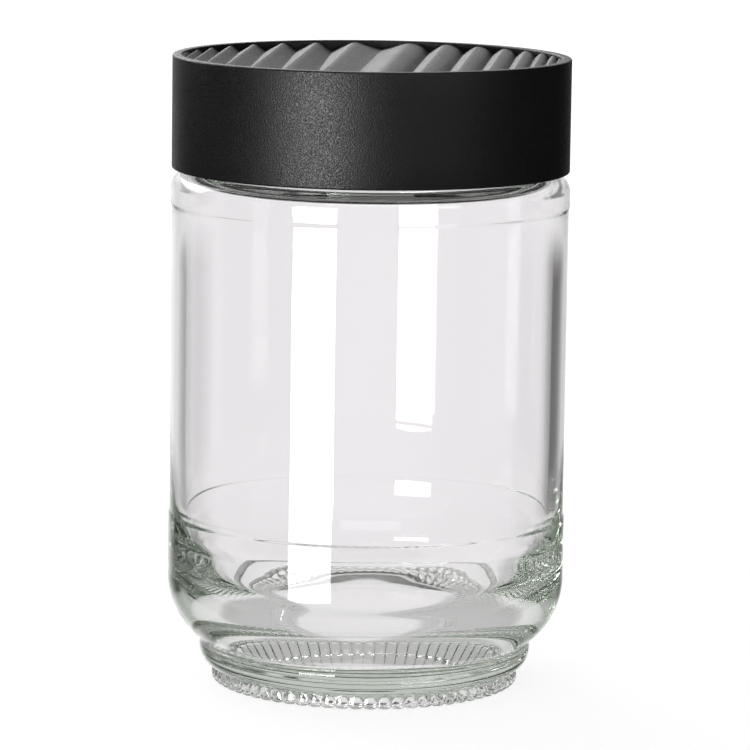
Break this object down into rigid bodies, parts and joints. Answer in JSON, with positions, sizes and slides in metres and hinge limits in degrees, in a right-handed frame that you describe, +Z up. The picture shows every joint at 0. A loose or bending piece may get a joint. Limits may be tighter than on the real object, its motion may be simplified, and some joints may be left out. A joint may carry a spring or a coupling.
{
  "type": "glass jar",
  "caption": "Straight-sided clear glass storage jar with a stacking foot, a flush black screw lid with a recessed pleated top, and a foam sealing liner.",
  "frame": {"origin": "middle of the ring that the jar stands on", "axes": "+Z up along the jar's axis, -Y towards the front, +X to the right seen from the front"},
  "size_m": [0.085, 0.085, 0.1344],
  "materials": {
    "clear_glass": "clear, polished",
    "black_plastic": "fine matte grain",
    "white_foam": "closed-cell foam with a skin"
  },
  "bodies": {
    "jar": {"glass_jar": "clear_glass"},
    "liner": {"sealing_liner": "white_foam"},
    "lid": {"lid_shell": "black_plastic"}
  },
  "joints": [
    {"name": "lid_lift", "type": "slide", "parent": "jar", "child": "liner", "axis": [0, 0, 1], "range_m": [0, 0.05]},
    {"name": "lid_turn", "type": "hinge", "parent": "liner", "child": "lid", "pos_m": [0, 0, 0.1281], "axis": [0, 0, 1], "range_deg": [-58, 0]}
  ]
}
